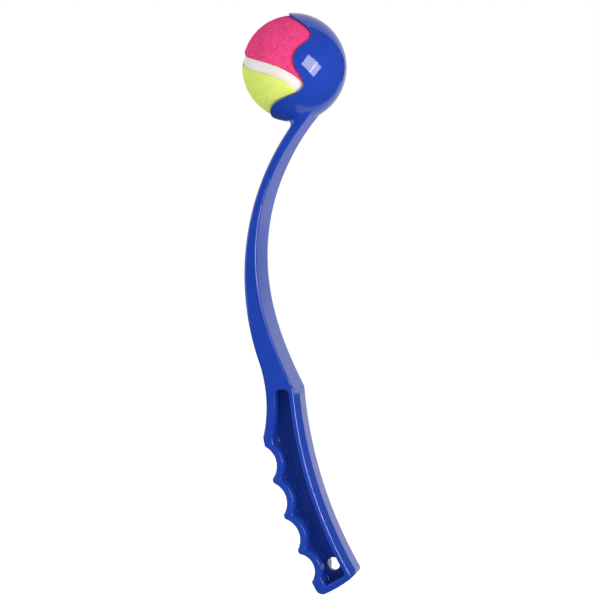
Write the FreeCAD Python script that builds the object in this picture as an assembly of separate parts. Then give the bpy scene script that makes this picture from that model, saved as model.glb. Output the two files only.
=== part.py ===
"""Throwing stick for a dog's tennis ball, and the ball that sits in its claw cup.

The frame has +Z up the stick, +X towards the back of the grip, where the palm rests, and +Y
across the stick. The origin is the centre of the hang hole in the grip's web, and the plane
Y = 0 halves the stick. All sizes are in millimetres.
"""
import FreeCAD, Part
import math
import os

# ---- Ball ----
BALL_RADIUS = 31.3          # over the felt's woven base
FELT_THICKNESS = 2.7
RUBBER_WALL = 3.3
GLUE_GAP = 0.1              # glue line between felt and rubber
SEAM_WIDTH = 6.8            # band of seam between the two felt panels
SEAM_RECESS = 0.5           # how far the seam lies below the felt
SEAM_GAP = 0.05             # between a felt panel's edge and the seam
SEAM_LOBE = 0.76            # 0.5 gives deep lobes, 1 a plain great circle
SEAM_POINTS = 48            # points that draw the seam's curve
BALL_TURN = (56.0, -4.0, -73.0)     # turns about Z, Y and X, in degrees, the last one made first

# ---- Claw cup ----
CUP_CLEARANCE = 0.3         # between the ball and the cup
CUP_WALL = 1.8
CUP_CENTRE_X = -26.6
CUP_CENTRE_Z = 307.3
MOUTH_TILT = 10.0           # the mouth looks towards -X, tilted up by this many degrees
# Rim of the claws on one side, as turns about the mouth's axis from the lowest claw's tip to the
# highest one's, each with its angle off that axis
CLAW_RIM = (
    (0.0, 77.0), (14.0, 78.0), (28.0, 81.5), (40.0, 90.0), (50.0, 107.0), (61.0, 121.0),
    (71.0, 119.0), (81.0, 111.5), (93.0, 107.8), (104.0, 110.5), (115.0, 116.5), (127.0, 119.0),
    (137.0, 109.0), (145.0, 95.0), (154.0, 85.0), (166.0, 79.5), (180.0, 77.5),
)
RIM_ROUNDING = 0.4

# ---- Grip ----
GRIP_WIDTH = 25.0           # across the stick
GRIP_DEPTH = 23.7           # from the back to the tips between the finger grooves
SPINE_RADIUS = 254.0        # bow of the grip's back
SPINE_LEAN = 29.2           # lean of the grip's back beside the hang hole, in degrees
GRIP_BELOW_HOLE = 11.6
BUTT_CROWN = 0.8            # how far the butt end bulges
LIP_FLARE = 0.8             # how far the lip below the last groove stands out past the tips
FINGER_GROOVES = 4
GROOVE_PITCH = 21.0         # along the grip's back
GROOVE_DEPTH = 5.3          # below the tips
LAST_GROOVE_CHORD = 18.0    # the lowest groove is a little narrower than the rest
LAST_TIP_ABOVE_HOLE = 15.1
TIP_LAND = 2.4              # flat between two grooves, before the tips are rounded
INDEX_REST_RADIUS = 80.0    # shallow hollow for the index finger
INDEX_REST_DEPTH = 5.5
GRIP_ABOVE_INDEX_REST = 2.8         # from the hollow's middle to the top of the grip
TIP_ROUNDING = 1.8
LIP_ROUNDING = 4.5
HEEL_ROUNDING = 3.0
KINK_ROUNDING = 4.0         # where the shaft's back meets the grip's
LONG_EDGE_ROUNDING = 1.3

# ---- Grip's pockets, one in each side ----
SPINE_WALL = 3.1
BUTT_WALL = 3.2
FINGER_WALL = 4.2           # between a pocket and the finger grooves
INDEX_WALL = 5.6            # between a pocket and the index finger's hollow
WEB_THICKNESS = 3.0         # between the two pockets
POCKET_TIP_LAND = 1.9       # flat behind each tip, before the pocket's corners are rounded
POCKET_LAST_TIP_LAND = 0.9  # least flat behind the lowest tip, where the lowest groove is narrower
POCKET_CORNER_ROUNDING = 1.5
POCKET_TOP_ROUNDING = 3.8
POCKET_TOP_SHARE = 0.42     # most of the pocket's top that one rounding takes
POCKET_MOUTH_ROUNDING = 0.5
POCKET_FLOOR_ROUNDING = 1.0

# ---- Hang hole ----
HANG_HOLE_RADIUS = 4.0
HANG_HOLE_INSET = 9.9       # from the grip's back

# ---- Shaft ----
SHAFT_BOW_RADIUS = 157.5    # of the front face
ROOT_ANGLE = 6.5            # where the front face meets the cup, from straight down
# Thickness of the shaft, front to back, as shares of the way from the cup to the grip
SHAFT_THICKNESS = ((-0.14, 6.0), (0.0, 5.7), (0.12, 5.4), (0.26, 5.4), (0.40, 6.4), (0.55, 8.4),
                   (0.70, 10.9), (0.83, 12.9))
# Width of the shaft, side to side, as shares of the height from the grip to the cup
SHAFT_WIDTH = ((0.12, 24.6), (0.30, 24.0), (0.50, 23.4), (0.70, 22.2), (0.86, 19.6), (1.0, 17.0))
ROOT_FILLET = 4.0           # where the shaft meets the cup

ON_SURFACE = 0.01           # how near a point counts as lying on a surface


def vec(x, y, z):
    """A point or direction."""
    return FreeCAD.Vector(x, y, z)


def in_plane(point, y=0.0):
    """A point of the XZ plane, given as (x, z), moved to the height y across the stick."""
    return vec(point[0], y, point[1])


# ---- Places worked out from the sizes ----
CORE_RADIUS = BALL_RADIUS - FELT_THICKNESS - GLUE_GAP
CUP_INNER = BALL_RADIUS + CUP_CLEARANCE
CUP_OUTER = CUP_INNER + CUP_WALL
CUP_CENTRE = vec(CUP_CENTRE_X, 0, CUP_CENTRE_Z)
TILT = math.radians(MOUTH_TILT)
MOUTH_AXIS = vec(-math.cos(TILT), 0, math.sin(TILT))
MOUTH_DOWN = vec(-math.sin(TILT), 0, -math.cos(TILT))
LEAN = math.radians(SPINE_LEAN)
GRIP_TURN = (SPINE_RADIUS + GRIP_DEPTH) / SPINE_RADIUS     # front length over back length
GROOVE_CHORD = GROOVE_PITCH * GRIP_TURN - TIP_LAND
INDEX_CHORD = 2 * math.sqrt((2 * INDEX_REST_RADIUS - INDEX_REST_DEPTH) * INDEX_REST_DEPTH)
INDEX_REST_ABOVE_HOLE = (LAST_TIP_ABOVE_HOLE + (FINGER_GROOVES - 1) * GROOVE_PITCH
                         + (TIP_LAND + INDEX_CHORD) / 2 / GRIP_TURN)
GRIP_ABOVE_HOLE = INDEX_REST_ABOVE_HOLE + GRIP_ABOVE_INDEX_REST
SPINE_CENTRE = ((SPINE_RADIUS + HANG_HOLE_INSET) * math.cos(LEAN),
                (SPINE_RADIUS + HANG_HOLE_INSET) * math.sin(LEAN))


def grip_point(along, depth):
    """The (x, z) place a distance up the grip's back from the hang hole and a depth in from the back."""
    angle = LEAN - along / SPINE_RADIUS
    reach = SPINE_RADIUS + depth
    return (SPINE_CENTRE[0] - reach * math.cos(angle), SPINE_CENTRE[1] - reach * math.sin(angle))


def circle_crossings(centre_a, radius_a, centre_b, radius_b):
    """The two crossings of two circles of the XZ plane, the one with the larger x first."""
    dx = centre_b[0] - centre_a[0]
    dz = centre_b[1] - centre_a[1]
    gap = math.hypot(dx, dz)
    foot = (gap * gap + radius_a * radius_a - radius_b * radius_b) / (2 * gap)
    half = math.sqrt(radius_a * radius_a - foot * foot)
    mid = (centre_a[0] + foot * dx / gap, centre_a[1] + foot * dz / gap)
    first = (mid[0] + half * dz / gap, mid[1] - half * dx / gap)
    second = (mid[0] - half * dz / gap, mid[1] + half * dx / gap)
    return sorted([first, second], reverse=True)


def towards(start, end, distance):
    """The point at a distance from start on the line to end."""
    length = math.hypot(end[0] - start[0], end[1] - start[1])
    return (start[0] + (end[0] - start[0]) * distance / length,
            start[1] + (end[1] - start[1]) * distance / length)


def arc(start, centre, end, y=0.0):
    """The shorter arc about a centre from start to end, in the XZ plane."""
    radius = math.hypot(start[0] - centre[0], start[1] - centre[1])
    middle = ((start[0] + end[0]) / 2, (start[1] + end[1]) / 2)
    crown = towards(centre, middle, radius)
    return Part.Arc(in_plane(start, y), in_plane(crown, y), in_plane(end, y)).toShape()


def smooth(points):
    """A smooth curve through points."""
    curve = Part.BSplineCurve()
    curve.interpolate(points)
    return curve.toShape()


def slab(edges, width):
    """The solid that an outline in the XZ plane sweeps across the stick, centred on Y = 0."""
    wire = Part.Wire(Part.__sortEdges__(edges))
    face = Part.Face(wire)
    face.translate(vec(0, -width / 2, 0))
    return face.extrude(vec(0, width, 0))


# ---- Stick: side outline ----
INDEX_CENTRE = grip_point(INDEX_REST_ABOVE_HOLE, GRIP_DEPTH - INDEX_REST_DEPTH + INDEX_REST_RADIUS)
ROOT_POINT = (CUP_CENTRE_X + CUP_OUTER * math.sin(math.radians(ROOT_ANGLE)),
              CUP_CENTRE_Z - CUP_OUTER * math.cos(math.radians(ROOT_ANGLE)))
BOW_CENTRE = circle_crossings(ROOT_POINT, SHAFT_BOW_RADIUS,
                              INDEX_CENTRE, SHAFT_BOW_RADIUS + INDEX_REST_RADIUS)[0]
GRIP_TOP = grip_point(GRIP_ABOVE_HOLE, 0)
HEEL = grip_point(-GRIP_BELOW_HOLE, 0)
TOE = grip_point(-GRIP_BELOW_HOLE, GRIP_DEPTH + LIP_FLARE)


def bow_angle(point):
    """The turn of a point about the shaft's bow, growing from the cup to the grip."""
    angle = math.atan2(point[1] - BOW_CENTRE[1], point[0] - BOW_CENTRE[0])
    return angle % (2 * math.pi)


def shaft_back():
    """The back of the shaft, from above the cup's wall down to the top of the grip."""
    start = bow_angle(ROOT_POINT)
    sweep = bow_angle(GRIP_TOP) - start
    points = []
    for share, thickness in SHAFT_THICKNESS:
        angle = start + share * sweep
        reach = SHAFT_BOW_RADIUS - thickness
        points.append(vec(BOW_CENTRE[0] + reach * math.cos(angle), 0,
                          BOW_CENTRE[1] + reach * math.sin(angle)))
    points.append(in_plane(GRIP_TOP))
    return smooth(points)


def groove(number):
    """The centre and radius of a finger groove's circle, counted up from the hang hole."""
    chord = GROOVE_CHORD if number else LAST_GROOVE_CHORD
    radius = (chord * chord / 4 + GROOVE_DEPTH * GROOVE_DEPTH) / (2 * GROOVE_DEPTH)
    tip = LAST_TIP_ABOVE_HOLE + number * GROOVE_PITCH
    along = tip - (TIP_LAND + chord) / 2 / GRIP_TURN
    return grip_point(along, GRIP_DEPTH - GROOVE_DEPTH + radius), radius


def rounded_end(reach, centre, radius, rounding, upper):
    """Where a hollow's circle runs out on the front, as three points: the place on the front, the
    centre of the rounding between them, and the place in the hollow."""
    ends = circle_crossings(SPINE_CENTRE, reach - rounding, centre, radius + rounding)
    pick = max if upper else min
    middle = pick(ends, key=lambda point: point[1])
    return towards(SPINE_CENTRE, middle, reach), middle, towards(centre, middle, radius)


def finger_front(start, reach, low_reach, wall, index_radius, rounding):
    """The edges up the grip's front, over each groove and into the index finger's hollow.

    wall is how far the edges keep from the grooves, and low_reach is the front's distance from the
    centre of the grip's bow below the last groove. Returns the edges and where they end.
    """
    edges = []
    for number in range(FINGER_GROOVES):
        centre, radius = groove(number)
        radius += wall
        low = rounded_end(reach if number else low_reach, centre, radius, rounding, upper=False)
        high = rounded_end(reach, centre, radius, rounding, upper=True)
        edges += [
            arc(start, SPINE_CENTRE, low[0]),
            arc(low[0], low[1], low[2]),
            arc(low[2], centre, high[2]),
            arc(high[2], high[1], high[0]),
        ]
        start = high[0]
    index = rounded_end(reach, INDEX_CENTRE, index_radius, rounding, upper=False)
    edges += [arc(start, SPINE_CENTRE, index[0]), arc(index[0], index[1], index[2])]
    return edges, index[2]


def stick_outline():
    """The edges round the grip and shaft, seen from the side."""
    back = shaft_back()
    back_top = (back.Vertexes[0].X, back.Vertexes[0].Z)
    start = bow_angle(ROOT_POINT)
    sweep = bow_angle(GRIP_TOP) - start
    front_angle = start + SHAFT_THICKNESS[0][0] * sweep
    front_top = (BOW_CENTRE[0] + SHAFT_BOW_RADIUS * math.cos(front_angle),
                 BOW_CENTRE[1] + SHAFT_BOW_RADIUS * math.sin(front_angle))
    bend = towards(BOW_CENTRE, INDEX_CENTRE, SHAFT_BOW_RADIUS)
    reach = SPINE_RADIUS + GRIP_DEPTH
    front, front_end = finger_front(TOE, reach, reach + LIP_FLARE, 0.0, INDEX_REST_RADIUS, TIP_ROUNDING)
    butt = grip_point(-GRIP_BELOW_HOLE - BUTT_CROWN, GRIP_DEPTH / 2)
    return [
        back,
        arc(GRIP_TOP, SPINE_CENTRE, HEEL),
        Part.Arc(in_plane(HEEL), in_plane(butt), in_plane(TOE)).toShape(),
        *front,
        arc(front_end, INDEX_CENTRE, bend),
        arc(bend, BOW_CENTRE, front_top),
        Part.LineSegment(in_plane(front_top), in_plane(back_top)).toShape(),
    ]


def edges_across(shape):
    """The straight edges of a shape that run across the stick, with their (x, z) places."""
    found = []
    for edge in shape.Edges:
        if len(edge.Vertexes) != 2 or not isinstance(edge.Curve, Part.Line):
            continue
        first, last = [vertex.Point for vertex in edge.Vertexes]
        if math.hypot(first.x - last.x, first.z - last.z) < ON_SURFACE:
            found.append((edge, (first.x, first.z)))
    return found


def edges_near(shape, places):
    """The edges across the stick that lie nearest to each of some (x, z) places."""
    edges = edges_across(shape)
    chosen = {}
    for place in places:
        edge, at = min(edges, key=lambda item: math.hypot(item[1][0] - place[0], item[1][1] - place[1]))
        chosen[(round(at[0], 3), round(at[1], 3))] = edge
    return list(chosen.values())


def width_profile():
    """The solid that narrows the shaft towards the cup, seen from the back."""
    low = GRIP_TOP[1] + 6
    rise = ROOT_POINT[1] - low
    sides = []
    for side in (-1, 1):
        points = [vec(0, side * GRIP_WIDTH / 2, low)]
        for share, width in SHAFT_WIDTH:
            points.append(vec(0, side * width / 2, low + share * rise))
        curve = Part.BSplineCurve()
        curve.interpolate(points, InitialTangent=vec(0, 0, 1), FinalTangent=vec(0, 0, 1))
        sides.append(curve)
    half = GRIP_WIDTH / 2
    bottom = low - 2 * GRIP_ABOVE_HOLE
    top = ROOT_POINT[1] + CUP_OUTER / 2
    end = SHAFT_WIDTH[-1][1] / 2
    edges = [curve.toShape() for curve in sides]
    for side in (-1, 1):
        edges.append(Part.makeLine(vec(0, side * half, bottom), vec(0, side * half, low)))
        edges.append(Part.makeLine(vec(0, side * end, ROOT_POINT[1]), vec(0, side * end, top)))
    edges.append(Part.makeLine(vec(0, -half, bottom), vec(0, half, bottom)))
    edges.append(Part.makeLine(vec(0, -end, top), vec(0, end, top)))
    face = Part.Face(Part.Wire(Part.__sortEdges__(edges)))
    reach = 2 * SHAFT_BOW_RADIUS
    face.translate(vec(-reach, 0, 0))
    return face.extrude(vec(2 * reach, 0, 0))


def bulge_depth(number, chord, land):
    """How far in from the back a pocket's front lies, so that a land is left beside a groove's bulge."""
    _, radius = groove(number)
    half_bulge = (chord + TIP_LAND - land) / 2
    return GRIP_DEPTH - GROOVE_DEPTH + radius - math.sqrt((radius + FINGER_WALL) ** 2 - half_bulge ** 2)


def pockets():
    """The two pockets in the grip's sides, as one compound of solids, with rounded corners."""
    bottom = -GRIP_BELOW_HOLE + BUTT_WALL
    front_depth = min(bulge_depth(1, GROOVE_CHORD, POCKET_TIP_LAND),
                      bulge_depth(0, LAST_GROOVE_CHORD, POCKET_LAST_TIP_LAND))
    index_radius = INDEX_REST_RADIUS + INDEX_WALL
    back_top = grip_point(GRIP_ABOVE_HOLE, SPINE_WALL)
    back_bottom = grip_point(bottom, SPINE_WALL)
    front_bottom = grip_point(bottom, front_depth)
    front_top = towards(INDEX_CENTRE, grip_point(GRIP_ABOVE_HOLE, GRIP_DEPTH / 2), index_radius)
    reach = SPINE_RADIUS + front_depth
    front, front_end = finger_front(front_bottom, reach, reach, FINGER_WALL, index_radius,
                                    POCKET_CORNER_ROUNDING)
    tool = slab([
        arc(back_top, SPINE_CENTRE, back_bottom),
        Part.LineSegment(in_plane(back_bottom), in_plane(front_bottom)).toShape(),
        *front,
        arc(front_end, INDEX_CENTRE, front_top),
        Part.LineSegment(in_plane(front_top), in_plane(back_top)).toShape(),
    ], 2 * GRIP_WIDTH)
    top_width = math.hypot(front_top[0] - back_top[0], front_top[1] - back_top[1])
    tool = tool.makeFillet(min(POCKET_TOP_ROUNDING, POCKET_TOP_SHARE * top_width),
                           edges_near(tool, [back_top, front_top]))
    tool = tool.makeFillet(POCKET_CORNER_ROUNDING, edges_near(tool, [back_bottom, front_bottom]))
    reach = 2 * SPINE_RADIUS
    web = Part.makeBox(2 * reach, WEB_THICKNESS, 2 * reach, vec(-reach, -WEB_THICKNESS / 2, -reach))
    return tool.cut(web)


def long_edges(shape):
    """The edges that run along both sides of the stick."""
    found = []
    for edge in shape.Edges:
        sides = [vertex.Point.y for vertex in edge.Vertexes]
        if isinstance(edge.Curve, Part.Line) or min(abs(side) for side in sides) < CUP_WALL:
            continue
        if min(sides) > 0 or max(sides) < 0:
            found.append(edge)
    return found


def grip_and_shaft():
    """The grip and shaft as one rounded solid, without pockets."""
    body = slab(stick_outline(), GRIP_WIDTH)
    body = body.makeFillet(LIP_ROUNDING, edges_near(body, [TOE]))
    body = body.makeFillet(HEEL_ROUNDING, edges_near(body, [HEEL]))
    body = body.makeFillet(KINK_ROUNDING, edges_near(body, [GRIP_TOP]))
    body = body.common(width_profile())
    return body.makeFillet(LONG_EDGE_ROUNDING, long_edges(body))


# ---- Stick: claw cup ----
def from_cup_centre(turn, off_axis, radius):
    """A point round the cup: turn from straight down, angle off the mouth's axis, and radius."""
    turn = math.radians(turn)
    off_axis = math.radians(off_axis)
    round_axis = MOUTH_DOWN * math.cos(turn) - vec(0, 1, 0) * math.sin(turn)
    return CUP_CENTRE + (MOUTH_AXIS * math.cos(off_axis) + round_axis * math.sin(off_axis)) * radius


def rim_curve(radius):
    """The claws' rim, thrown from the cup's centre onto a sphere of a radius."""
    mirrored = [(-turn, off_axis) for turn, off_axis in CLAW_RIM[-2:0:-1]]
    points = [from_cup_centre(turn, off_axis, radius) for turn, off_axis in [*CLAW_RIM, *mirrored]]
    curve = Part.BSplineCurve()
    curve.interpolate(Points=points, PeriodicFlag=True)
    return curve.toShape()


def on_sphere(edge, radius):
    """Whether an edge lies all along a sphere about the cup's centre."""
    first, last = edge.ParameterRange
    samples = [edge.valueAt(first + (last - first) * share) for share in (0.1, 0.35, 0.6, 0.9)]
    return all(abs(point.distanceToPoint(CUP_CENTRE) - radius) < ON_SURFACE for point in samples)


def root_edges(body):
    """The edges where the shaft meets the cup's outside, without the dome's own seam in the plane Y = 0."""
    found = []
    for edge in body.Edges:
        if edge.Length < ON_SURFACE or not on_sphere(edge, CUP_OUTER):
            continue
        if max(abs(edge.BoundBox.YMin), abs(edge.BoundBox.YMax)) > ON_SURFACE:
            found.append(edge)
    return found


def rim_edges(body, rim):
    """The long edges of a shape that lie on the surface that ended the claws."""
    found = []
    for edge in body.Edges:
        if edge.Length < CUP_WALL:
            continue
        first, last = edge.ParameterRange
        samples = [edge.valueAt(first + (last - first) * share) for share in (0.2, 0.5, 0.8)]
        if all(rim.distToShape(Part.Vertex(point))[0] < ON_SURFACE for point in samples):
            found.append(edge)
    return found


def outline_edges(body, side, tool):
    """The edges at a distance to either side of the middle that lie on a cutting tool."""
    found = []
    for edge in body.Edges:
        first, last = edge.ParameterRange
        samples = [edge.valueAt(first + (last - first) * share) for share in (0.0, 0.5, 1.0)]
        if max(abs(abs(point.y) - side) for point in samples) > ON_SURFACE:
            continue
        if tool.isInside(samples[1], ON_SURFACE, True):
            found.append(edge)
    return found


def claw_cup(body):
    """The grip and shaft with the cup fused on, hollowed and cut to its claws."""
    dome = Part.makeSphere(CUP_OUTER, CUP_CENTRE, MOUTH_AXIS)
    dome.rotate(CUP_CENTRE, MOUTH_AXIS, 180)
    body = body.fuse(dome)
    body = body.makeFillet(ROOT_FILLET, root_edges(body))
    cavity = Part.makeSphere(CUP_INNER, CUP_CENTRE, MOUTH_AXIS)
    cavity.rotate(CUP_CENTRE, MOUTH_AXIS, 180)
    cavity = cavity.fuse(Part.makeCylinder(CUP_INNER, 2 * CUP_OUTER, CUP_CENTRE, MOUTH_AXIS))
    body = body.cut(cavity)
    rim = Part.makeRuledSurface(rim_curve(CUP_INNER * 0.8), rim_curve(CUP_OUTER * 1.25))
    pieces, _ = body.generalFuse([rim])
    body = max(pieces.Solids, key=lambda solid: solid.Volume)
    return body.makeFillet(RIM_ROUNDING, rim_edges(body, rim))


def launcher_wand():
    """The whole moulding: grip, shaft and claw cup."""
    body = claw_cup(grip_and_shaft())
    tool = pockets()
    body = body.cut(tool)
    body = body.makeFillet(POCKET_MOUTH_ROUNDING, outline_edges(body, GRIP_WIDTH / 2, tool))
    body = body.makeFillet(POCKET_FLOOR_ROUNDING, outline_edges(body, WEB_THICKNESS / 2, tool))
    hole = Part.makeCylinder(HANG_HOLE_RADIUS, GRIP_WIDTH, vec(0, -GRIP_WIDTH / 2, 0), vec(0, 1, 0))
    return body.cut(hole).Solids[0]


# ---- Ball ----
def seam_curve(half_width, radius):
    """A closed curve along the seam, off to one side by half_width, on a sphere of a radius."""
    turn = FreeCAD.Rotation(*BALL_TURN)
    wave = 2 * math.sqrt(SEAM_LOBE * (1 - SEAM_LOBE))
    points = []
    for number in range(SEAM_POINTS):
        at = 2 * math.pi * number / SEAM_POINTS
        lobe = 1 - SEAM_LOBE
        place = vec(SEAM_LOBE * math.cos(at) + lobe * math.cos(3 * at),
                    SEAM_LOBE * math.sin(at) - lobe * math.sin(3 * at),
                    wave * math.sin(2 * at))
        along = vec(-SEAM_LOBE * math.sin(at) - 3 * lobe * math.sin(3 * at),
                    SEAM_LOBE * math.cos(at) - 3 * lobe * math.cos(3 * at),
                    2 * wave * math.cos(2 * at))
        aside = place.cross(along).normalize()
        angle = half_width / BALL_RADIUS
        place = place * math.cos(angle) + aside * math.sin(angle)
        points.append(CUP_CENTRE + turn.multVec(place) * radius)
    curve = Part.BSplineCurve()
    curve.interpolate(Points=points, PeriodicFlag=True)
    return curve.toShape()


def split_at_seam(shell, reach, half_width):
    """The solids of a round shell once it is cut along both sides of the seam."""
    walls = [Part.makeRuledSurface(seam_curve(side * half_width, reach * 0.5),
                                   seam_curve(side * half_width, reach * 1.5)) for side in (-1, 1)]
    pieces, _ = shell.generalFuse(walls)
    return pieces.Solids


def at_seam_side(solids, side, radius):
    """The one of some solids that lies to a side of the seam: -1 and 1 are the panels, 0 the seam."""
    spot = seam_curve(side * 2 * SEAM_WIDTH, radius).valueAt(0)
    return min(solids, key=lambda solid: solid.distToShape(Part.Vertex(spot))[0])


def felt_panels():
    """The two felt panels, the one on the seam's near side first."""
    inside = CORE_RADIUS + GLUE_GAP
    shell = Part.makeSphere(BALL_RADIUS, CUP_CENTRE).cut(Part.makeSphere(inside, CUP_CENTRE))
    solids = split_at_seam(shell, BALL_RADIUS, SEAM_WIDTH / 2 + SEAM_GAP)
    return [at_seam_side(solids, side, BALL_RADIUS) for side in (-1, 1)]


def seam_band():
    """The glue seam between the felt panels."""
    inside = CORE_RADIUS + GLUE_GAP
    outside = BALL_RADIUS - SEAM_RECESS
    shell = Part.makeSphere(outside, CUP_CENTRE).cut(Part.makeSphere(inside, CUP_CENTRE))
    return at_seam_side(split_at_seam(shell, BALL_RADIUS, SEAM_WIDTH / 2), 0, outside)


def core_halves():
    """The two half shells of the rubber core, which meet face to face."""
    across = FreeCAD.Rotation(*BALL_TURN).multVec(vec(0, 0, 1))
    halves = []
    for direction in (across, -across):
        dome = Part.makeSphere(CORE_RADIUS, CUP_CENTRE, direction, 0, 90, 360)
        hollow = Part.makeSphere(CORE_RADIUS - RUBBER_WALL, CUP_CENTRE)
        halves.append(dome.cut(hollow).Solids[0])
    return halves


def main():
    """Writes each sub-part to its own STEP file."""
    near_core, far_core = core_halves()
    near_felt, far_felt = felt_panels()
    nodes = {
        "launcher_wand": launcher_wand(),
        "ball_core_half_1": near_core,
        "ball_core_half_2": far_core,
        "pink_felt_panel": near_felt,
        "yellow_green_felt_panel": far_felt,
        "ball_seam": seam_band(),
    }
    os.makedirs("parts", exist_ok=True)
    for name, shape in nodes.items():
        print(f"{name}: valid {shape.isValid()}, {len(shape.Faces)} faces")
        shape.exportStep(f"parts/{name}.step")


if __name__ == "__main__":
    main()
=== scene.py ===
"""Looks of a hand-held dog ball thrower: a one-piece blue plastic stick whose claw cup holds a felt ball.

The stick, the ball's rubber core and its seam keep their fixed shapes and get moulded finishes.
The two felt panels are made here as napped felt that is pressed flat where the cup holds it.
Lengths are in millimetres until a mesh is written, and the scene is in metres.
"""

import logging
import math
from dataclasses import dataclass, field
from enum import Enum

import bmesh
import bpy
from bpy.types import NodeSocket
from mathutils import Euler, Matrix, Vector, noise
from mathutils.bvhtree import BVHTree
from mathutils.kdtree import KDTree


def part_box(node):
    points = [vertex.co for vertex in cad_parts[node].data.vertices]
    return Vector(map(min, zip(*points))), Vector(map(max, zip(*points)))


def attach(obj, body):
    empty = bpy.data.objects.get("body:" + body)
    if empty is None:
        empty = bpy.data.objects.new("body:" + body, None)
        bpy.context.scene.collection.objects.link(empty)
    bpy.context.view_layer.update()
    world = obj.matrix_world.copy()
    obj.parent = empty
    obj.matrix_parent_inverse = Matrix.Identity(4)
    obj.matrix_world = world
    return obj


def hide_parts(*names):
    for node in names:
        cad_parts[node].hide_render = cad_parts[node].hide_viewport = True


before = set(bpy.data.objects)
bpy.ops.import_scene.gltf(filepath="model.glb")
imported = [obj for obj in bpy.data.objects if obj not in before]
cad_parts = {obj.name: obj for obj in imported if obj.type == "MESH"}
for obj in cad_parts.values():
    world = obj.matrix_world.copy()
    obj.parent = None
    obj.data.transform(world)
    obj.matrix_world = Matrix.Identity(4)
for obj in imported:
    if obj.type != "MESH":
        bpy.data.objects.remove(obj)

LOG = logging.getLogger("ball_thrower")
MM = 0.001

Edge = tuple[int, int]
Triangle = tuple[int, int, int]
Colour = tuple[float, float, float]
WHITE: Colour = (1.0, 1.0, 1.0)
WARM_WHITE: Colour = (1.0, 0.97, 0.9)
NOISE_MEAN = 0.5

# The Mix node has sockets for every kind of data, and these are the ones for colours.
MIX_SHARE, MIX_FIRST, MIX_SECOND, MIX_RESULT = 0, 6, 7, 2


class PanelSide(Enum):
    """The side of the seam that a felt panel covers, as the sign of its distance from the seam's middle."""

    PINK = -1
    YELLOW_GREEN = 1


class Socket(Enum):
    """Kinds of socket that the shader groups use."""

    VALUE = "NodeSocketFloat"
    VECTOR = "NodeSocketVector"


# ---- Shader building ----


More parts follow.
